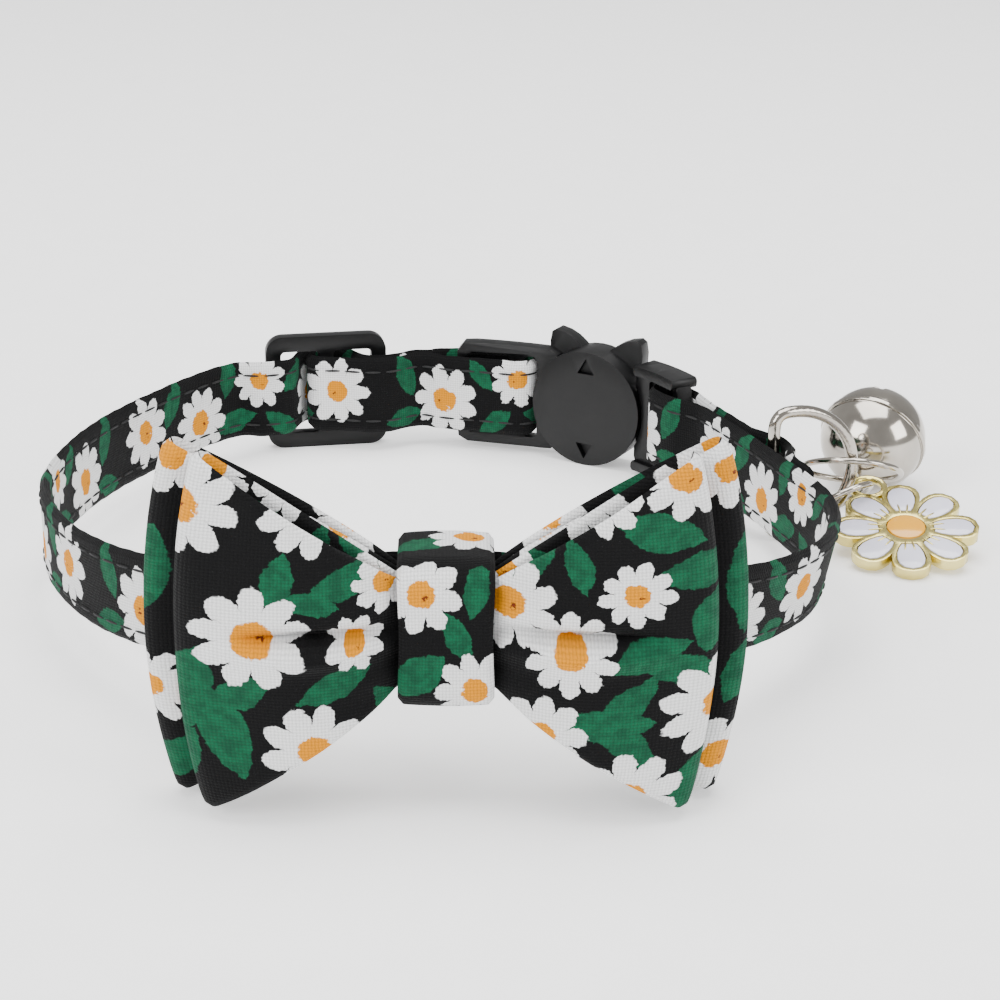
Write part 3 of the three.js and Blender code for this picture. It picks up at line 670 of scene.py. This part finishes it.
def cad_copy(node: str, bevel: float = 0.0) -> bmesh.types.BMesh:
    """A CAD node's mesh, merged, with flat faces joined and its crisp edges eased.

    Args:
        node: The CAD node's name.
        bevel: Width of the eased edges in millimetres, or 0 for none.

    Returns:
        A new mesh.
    """
    bm = bmesh.new()
    bm.from_mesh(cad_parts[node].data)
    bmesh.ops.remove_doubles(bm, verts=bm.verts[:], dist=1e-6)
    if bevel:
        bmesh.ops.dissolve_limit(bm, angle_limit=math.radians(1), verts=bm.verts[:], edges=bm.edges[:])
        edges = [e for e in bm.edges if e.is_manifold and e.calc_face_angle(0) > math.radians(45)]
        bmesh.ops.bevel(
            bm, geom=edges, offset=bevel * MM, segments=2, profile=0.5, affect="EDGES", material=-1,
            clamp_overlap=True,
        )
        bmesh.ops.triangulate(bm, faces=[f for f in bm.faces if len(f.verts) > 4])
    bmesh.ops.recalc_face_normals(bm, faces=bm.faces[:])
    return bm


# ---- sub-assemblies -----------------------------------------------------------------------


@dataclass
class Strap:
    """The cloth strap with its edge stitching."""

    plan: Plan
    step: float = 0.55
    stitch: float = 2.0
    stitch_gap: float = 0.75
    stitch_in: float = 1.7
    stitch_wide: float = 0.3
    line: np.ndarray = field(init=False)

    def _path(self) -> list[tuple[float, float]]:
        """The strap's way, as (along, out), from its sewn tail to the slider's middle bar."""
        turn, slide, tail = BAR_REACH, SLIDER_REACH, LAYER
        last, socket = self.plan.length - SLIDER_BACK, self.plan.length - SOCKET_BACK
        reach = self.plan.length - SOCKET_END_BACK

        def points(middle: float, *steps: tuple[float, float]) -> list[tuple[float, float]]:
            """Points given as (along from the middle, out)."""
            return [(middle + along, out) for along, out in steps]

        line = points(
            RING_ALONG, (9.5, tail), (4.5, tail), (2.4, RING_REACH - 0.75), (1.2, RING_REACH),
            (-1.2, RING_REACH), (-2.4, RING_REACH - 0.75), (-4.5, tail), (-6.5, tail),
        )
        line += [(20.0, tail), (16.1, turn - 0.2)] + arc((PLUG_BAR, 0.0), turn, 90, 270)
        line += [(16.1, -turn + 0.1), (18.2, -0.7), (20.3, 0.0)]
        line += [(along, 0.0) for along in np.linspace(23, last - 14, 60)]
        line += points(
            last, (-11.5, 0.0), (-9.6, -slide + 0.3), (-7.6, -slide), (-5.5, -slide), (-4.6, -slide + 0.8),
            (-3.1, slide - 0.2), (-2.0, slide + LAYER - 0.5), (-0.7, slide + LAYER), (0.7, slide + LAYER),
            (2.0, slide + LAYER - 0.5), (3.1, slide - 0.2), (4.6, -slide + 0.8), (5.5, -slide),
            (7.6, -slide), (9.4, -slide + 1.0), (11.5, LAYER / 2), (14, LAYER / 2),
        )
        line += [(reach, LAYER / 2), (reach + 2.6, turn - 0.25), (socket - 3, turn)]
        line += arc((socket, 0.0), turn, 90, -90)
        line += [(socket - 3, -turn), (reach + 2.6, -turn + 0.25), (reach, -LAYER / 2)]
        line += points(
            last, (13, -LAYER / 2), (11.5, -LAYER / 2 - 0.15), (9.4, -slide - LAYER + 0.8),
            (7.6, -slide - LAYER), (5.2, -slide - LAYER), (3.4, -slide - 0.9), (1.8, -slide - 0.2),
        )
        return line + arc((last, 0.0), slide, 270, 90)

    def _place(self, a: float, b: float, v: float) -> Vector:
        """A point of the strap; its edges swell very slightly between stitches."""
        swell = 1 + 0.006 * math.sin(a * 2.1) + 0.004 * math.sin(a * 0.83 + 1)
        return self.plan.on_loop(a, b, v * STRAP_WIDTH / 2 * swell)

    def _stitches(self, bm: bmesh.types.BMesh) -> None:
        """Adds thread stitches along both edges and on both faces."""
        lengths = np.concatenate([[0.0], np.cumsum(np.linalg.norm(np.diff(self.line, axis=0), axis=1))])
        pitch = self.stitch + self.stitch_gap

        def point(at: float) -> tuple[np.ndarray, np.ndarray]:
            """The strap's middle at a distance along it, and the way square to it."""
            here = np.array([np.interp(at, lengths, self.line[:, k]) for k in range(2)])
            ahead = np.array([np.interp(at + 0.2, lengths, self.line[:, k]) for k in range(2)])
            run = (ahead - here) / max(float(np.linalg.norm(ahead - here)), 1e-9)
            return here, np.array([-run[1], run[0]])

        for start in np.arange(1.0, lengths[-1] - pitch, pitch):
            for face in (-1, 1):
                for edge in (-1, 1):
                    rows = []
                    for share in np.linspace(0, 1, 5):
                        here, side = point(start + share * self.stitch)
                        thin = math.sin(math.pi * (0.08 + 0.84 * share)) ** 0.5
                        lift = STRAP_THICK / 2 + self.stitch_wide * 0.1
                        up = edge * (STRAP_WIDTH / 2 - self.stitch_in)
                        row = []
                        for turn in np.linspace(0, 2 * math.pi, 6, endpoint=False):
                            out = lift + math.sin(turn) * self.stitch_wide / 2 * thin
                            at = here + side * face * out
                            high = up + math.cos(turn) * self.stitch_wide / 2 * thin
                            row.append(bm.verts.new(self.plan.on_loop(at[0], at[1], high)))
                        rows.append(row)
                    for low, high in zip(rows, rows[1:]):
                        for k in range(6):
                            bm.faces.new((low[k], high[k], high[(k + 1) % 6], low[(k + 1) % 6]))
                    bm.faces.new(rows[0])
                    bm.faces.new(list(reversed(rows[-1])))
        bmesh.ops.recalc_face_normals(bm, faces=bm.faces[:])

    def build(self, material: bpy.types.Material, thread: bpy.types.Material) -> None:
        self.line = smoothed(self._path(), self.step)
        bm = bmesh.new()
        Ribbon(
            self.line, STRAP_THICK, 14, self._place,
            lambda length, a, b, v: (length, v * STRAP_WIDTH / 2),
        ).add(bm)
        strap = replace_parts(new_object("strap_cloth", bm, material, 60), "strap")
        bm = bmesh.new()
        self._stitches(bm)
        stitching = new_object("strap_stitching", bm, thread, 80)


@dataclass
class BowLayer:
    """One layer of the bow: two wings, each a loop of cloth, gathered in the knot.

    Args:
        plan: The collar's plan.
        name: The CAD node it stands for.
        half: Half length to the end folds.
        waist, end: Half heights in the knot and at the end.
        bulge: How far the end fold stands out at mid height.
        deep: Room between the two walls.
        crease: Depth of the fold that runs out of the knot.
        waist_y: The layer's place in the knot.
        mid_y: Its swing half way out.
        end_y: Its place at the end.
    """

    plan: Plan
    name: str
    half: float
    waist: float
    end: float
    bulge: float
    deep: float
    crease: float
    waist_y: float
    mid_y: float
    end_y: float

    def _share(self, x: float) -> float:
        """0 in the knot and 1 at the end fold."""
        return min(max((abs(x) - KNOT_HALF) / (self.half - KNOT_HALF), 0.0), 1.0)

    def _line(self) -> np.ndarray:
        """The right wing's cloth from above: out along the front, round the end and back along the rear."""
        inner = self.half - 1.6
        wall = []
        for i in range(31):
            x = 0.4 + (inner - 0.4) * i / 30
            room = self.deep * max(math.sin(math.pi * self._share(x) * 0.97), 0.0) ** 0.9
            wall.append((x, 0.15 + 0.0006 * x * x + (room + BOW_WALL) / 2))
        x, y = wall[-1]
        end = [(x + math.cos(t), y * math.sin(t)) for t in np.radians(np.linspace(-75, 75, 9))]
        return smoothed([(x, -y) for x, y in wall] + end + wall[::-1], 0.45)

    def _half_height(self, x: float) -> float:
        """Half height of the wing at x."""
        return self.waist + (self.end - self.waist) * self._share(x) ** 0.92

    def _place(self, x: float, y: float, v: float) -> Vector:
        """A point of the layer, with its fold, gathers and bulged end."""
        w = self._share(x)
        high = v * self._half_height(x)
        side = 1.0 if x > 0 else -1.0
        fold = 0.0
        if y < 0:
            valley = math.exp(-((high - 0.6) ** 2) / 0.45) * math.sin(math.pi * min(w * 1.25, 1.0))
            ridge = math.exp(-((high + 0.9) ** 2) / 1.3) * math.sin(math.pi * min(w * 1.15, 1.0))
            fold = self.crease * (2.0 * valley - 1.0 * ridge)
            gather = math.sin(high * 1.9 + side * 0.7) * math.exp(-w * 6.0) * 0.22
            soft = 0.18 * math.sin(x * 0.5 + high * 0.35) * w
            fold += gather + soft
        out = x + side * self.bulge * w ** 3 * (1 - v * v)
        swing = self.mid_y * math.sin(math.pi * w ** 0.8)
        deep = self.waist_y + (self.end_y - self.waist_y) * w + swing + y + fold
        return self.plan.bow(out, deep, high)

    def _print(self, length: float, x: float, y: float, v: float) -> tuple[float, float]:
        """The rear walls show the print the other way round."""
        return (x if y < 0 else -x, v * self._half_height(x))

    def build(self, material: bpy.types.Material) -> None:
        bm = bmesh.new()
        right = self._line()
        for side in (1, -1):
            line = right * np.array([side, 1.0])
            Ribbon(line[::side], BOW_WALL, 44, self._place, self._print).add(bm)
        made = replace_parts(new_object(f"{self.name}_cloth", bm, material, 70), self.name)


@dataclass
class Knot:
    """The cloth band round the bow's middle and the strap."""

    plan: Plan
    height: float = 13.6
    wall: float = 1.1

    def build(self, material: bpy.types.Material) -> None:
        front = -1.45 - 0.3 - BOW_WALL - GAP - self.wall - 0.3 + self.wall / 2
        back = STRAP_BEHIND_BOW + STRAP_THICK / 2 + GAP + self.wall + 1.2 - self.wall / 2
        half, radius = (self.height - self.wall) / 2, 2.2
        line = arc((front + radius, half - radius), radius, 180, 90)
        line += arc((back - radius, half - radius), radius, 90, 0)
        line += arc((back - radius, radius - half), radius, 0, -90)
        line += arc((front + radius, radius - half), radius, -90, -180)
        closed = np.array([*line, line[0]])
        lengths = np.concatenate([[0.0], np.cumsum(np.linalg.norm(np.diff(closed, axis=0), axis=1))])
        total = float(lengths[-1])
        at = np.linspace(0, total, 110, endpoint=False)
        points = np.stack([np.interp(at, lengths, closed[:, k]) for k in range(2)], 1)
        middle_y = (front + back) / 2

        def place(y: float, z: float, v: float) -> Vector:
            """A point of the band, with its swell and pinches."""
            swell = 1 + 0.035 * (1 - v * v)
            pinch = 0.12 * math.sin(z * 1.5 + v * 0.8) * (1 - v * v) if y < middle_y else 0.0
            return self.plan.bow(v * KNOT_HALF * (1 - 0.02 * math.cos(z * 0.5)), y + pinch, z * swell)

        def cloth(length: float, y: float, z: float, v: float) -> tuple[float, float]:
            """The print runs up the front and on over the top."""
            over = y - front
            return (v * KNOT_HALF, z + (over if z > 0 else -over) if over > 0.6 else z)

        bm = bmesh.new()
        Ribbon(points, self.wall, 16, place, cloth, loop=True).add(bm)
        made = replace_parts(new_object("bow_knot_cloth", bm, material, 60), "bow_knot")


@dataclass
class Fittings:
    """The slider, the buckle, the rings, the bell and the charm."""

    plan: Plan
    plastic: bpy.types.Material
    nickel: bpy.types.Material
    gold: bpy.types.Material
    white: bpy.types.Material
    yellow: bpy.types.Material
    bell_radius: float = 6.4
    bell_wall: float = 0.5

    def _bell(self) -> None:
        """Makes the bell from the CAD shell, with its outer and inner spheres made smooth."""
        bm = cad_copy("bell")
        bmesh.ops.triangulate(bm, faces=bm.faces[:])
        bmesh.ops.subdivide_edges(bm, edges=bm.edges[:], cuts=3, use_grid_fill=True)
        centre = self.plan.origin + BELL_PLAN * MM
        for vert in bm.verts:
            off = vert.co - centre
            far = off.length / MM
            for radius in (self.bell_radius, self.bell_radius - self.bell_wall):
                if radius - 0.12 < far < radius + 0.02:
                    vert.co = centre + off.normalized() * radius * MM
        bmesh.ops.recalc_face_normals(bm, faces=bm.faces[:])
        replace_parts(new_object("bell_shell", bm, self.nickel, 35), "bell")

    def _rounded(self, name: str, node: str) -> None:
        """Makes a ring or ball of nickel rounder."""
        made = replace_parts(new_object(name, cad_copy(node), self.nickel, 180), node)
        rounder = made.modifiers.new("rounder", "SUBSURF")
        rounder.levels = rounder.render_levels = 2

    def _charm_lines(self) -> None:
        """Adds the short raised lines that run out from the charm's middle on each petal."""
        low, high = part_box("charm_centre")
        place = Matrix.Translation((low + high) / 2)
        for angle, axis in ((15, "X"), (-3, "Y"), (109, "Z")):
            place = place @ Matrix.Rotation(math.radians(angle), 4, axis)
        length = 1.6
        bm = bmesh.new()
        for petal in range(8):
            for spread in (-0.13, 0.13):
                turn = (petal + 0.5) * math.pi / 4 + spread
                size = Matrix.Diagonal((length * MM, 0.2 * MM, 0.16 * MM, 1))
                start = Matrix.Translation(((2.7 + length / 2) * MM, 0, 0.13 * MM))
                where = Matrix.Rotation(turn, 4, "Z") @ start
                bmesh.ops.create_icosphere(bm, subdivisions=2, radius=0.6, matrix=place @ where @ size)
        new_object("charm_lines", bm, self.gold, 180)

    def build(self) -> None:
        """Makes every fitting."""
        for node, bevel in (("slider", 0.28), ("buckle_socket", 0.16), ("buckle_plug", 0.16)):
            made = new_object(f"{node}_moulding", cad_copy(node, bevel), self.plastic, 50)
            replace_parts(made, node)
        for node in ("d_ring", "jump_ring_bell", "jump_ring_charm"):
            self._rounded(f"{node}_wire", node)
        self._bell()
        self._rounded("bell_pellet_ball", "bell_pellet")
        made = new_object("charm_plate", cad_copy("charm_base", 0.07), self.gold, 50)
        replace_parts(made, "charm_base")
        for i in range(1, 9):
            node = f"charm_petal_{i}"
            made = new_object(f"{node}_enamel", cad_copy(node, 0.1), self.white, 60)
            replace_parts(made, node)
        made = new_object("charm_centre_enamel", cad_copy("charm_centre", 0.12), self.yellow, 60)
        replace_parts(made, "charm_centre")
        self._charm_lines()


@dataclass
class Studio:
    """A pale floor, soft lights and the camera."""

    plan: Plan
    distance: float = 0.262
    elevation: float = 22.0
    lens: float = 80.28
    shift: tuple[float, float] = (0.054, 0.040)

    def _light(self, name: str, place: tuple, size: float, power: float) -> None:
        """Adds a square soft light that faces the collar."""
        data = bpy.data.lights.new(name, "AREA")
        data.energy, data.size = power, size
        lamp = bpy.data.objects.new(name, data)
        lamp.location = Vector(place)
        lamp.rotation_euler = (-Vector(place)).to_track_quat("-Z", "Y").to_euler()
        bpy.context.scene.collection.objects.link(lamp)

    def build(self) -> None:
        """Makes the floor, the lights, the pale surroundings and the camera."""
        bm = bmesh.new()
        bmesh.ops.create_grid(bm, x_segments=1, y_segments=1, size=3.0)
        mesh = bpy.data.meshes.new("floor")
        bm.to_mesh(mesh)
        bm.free()
        mesh.materials.append(FLOOR.build())
        floor = bpy.data.objects.new("floor", mesh)
        bpy.context.scene.collection.objects.link(floor)
        self._light("overhead", (0.0, 0.05, 0.75), 0.7, 9.0)
        self._light("left", (-0.55, -0.45, 0.45), 0.5, 6.0)
        self._light("right", (0.6, -0.35, 0.35), 0.4, 3.5)
        world = bpy.data.worlds.new("surroundings")
        world.use_nodes = True
        background = world.node_tree.nodes["Background"]
        background.inputs["Color"].default_value = (1, 1, 1, 1)
        background.inputs["Strength"].default_value = 0.6
        bpy.context.scene.world = world
        camera = bpy.data.objects.new("camera", bpy.data.cameras.new("camera"))
        up = math.radians(self.elevation)
        camera.location = self.plan.origin + Vector((0, -math.cos(up), math.sin(up))) * self.distance
        camera.rotation_euler = (math.radians(90) - up, 0, 0)
        camera.data.lens, camera.data.sensor_width = self.lens, 36
        camera.data.shift_x, camera.data.shift_y = self.shift
        camera.data.clip_start = 0.01
        bpy.context.scene.collection.objects.link(camera)
        bpy.context.scene.camera = camera


def main() -> None:
    """Builds the whole collar."""
    logging.basicConfig(level=logging.INFO)
    plan = Plan()
    log.info("loop %.2f mm", plan.length)
    Strap(plan).build(
        PrintedCloth("strap_print", STRAP_DAISIES, STRAP_LEAVES, STRAP_REPEAT).build(), THREAD.build())
    BowLayer(plan, "bow_front", 21.8, 5.0, 16.9, 2.2, 2.6, 1.3, -1.45, -2.0, -2.2).build(
        PrintedCloth("front_print", FRONT_DAISIES, FRONT_LEAVES).build())
    BowLayer(plan, "bow_back", 24.6, 4.9, 17.0, 2.5, 1.5, 0.4, 1.5, 0.5, 1.5).build(
        PrintedCloth("rear_print", REAR_DAISIES, REAR_LEAVES).build())
    Knot(plan).build(PrintedCloth("knot_print", KNOT_DAISIES, KNOT_LEAVES).build())
    Fittings(plan, *(finish.build() for finish in (MOULDED, NICKEL, GOLD, WHITE, YELLOW))).build()
    Studio(plan).build()


if __name__ == "__main__":
    main()
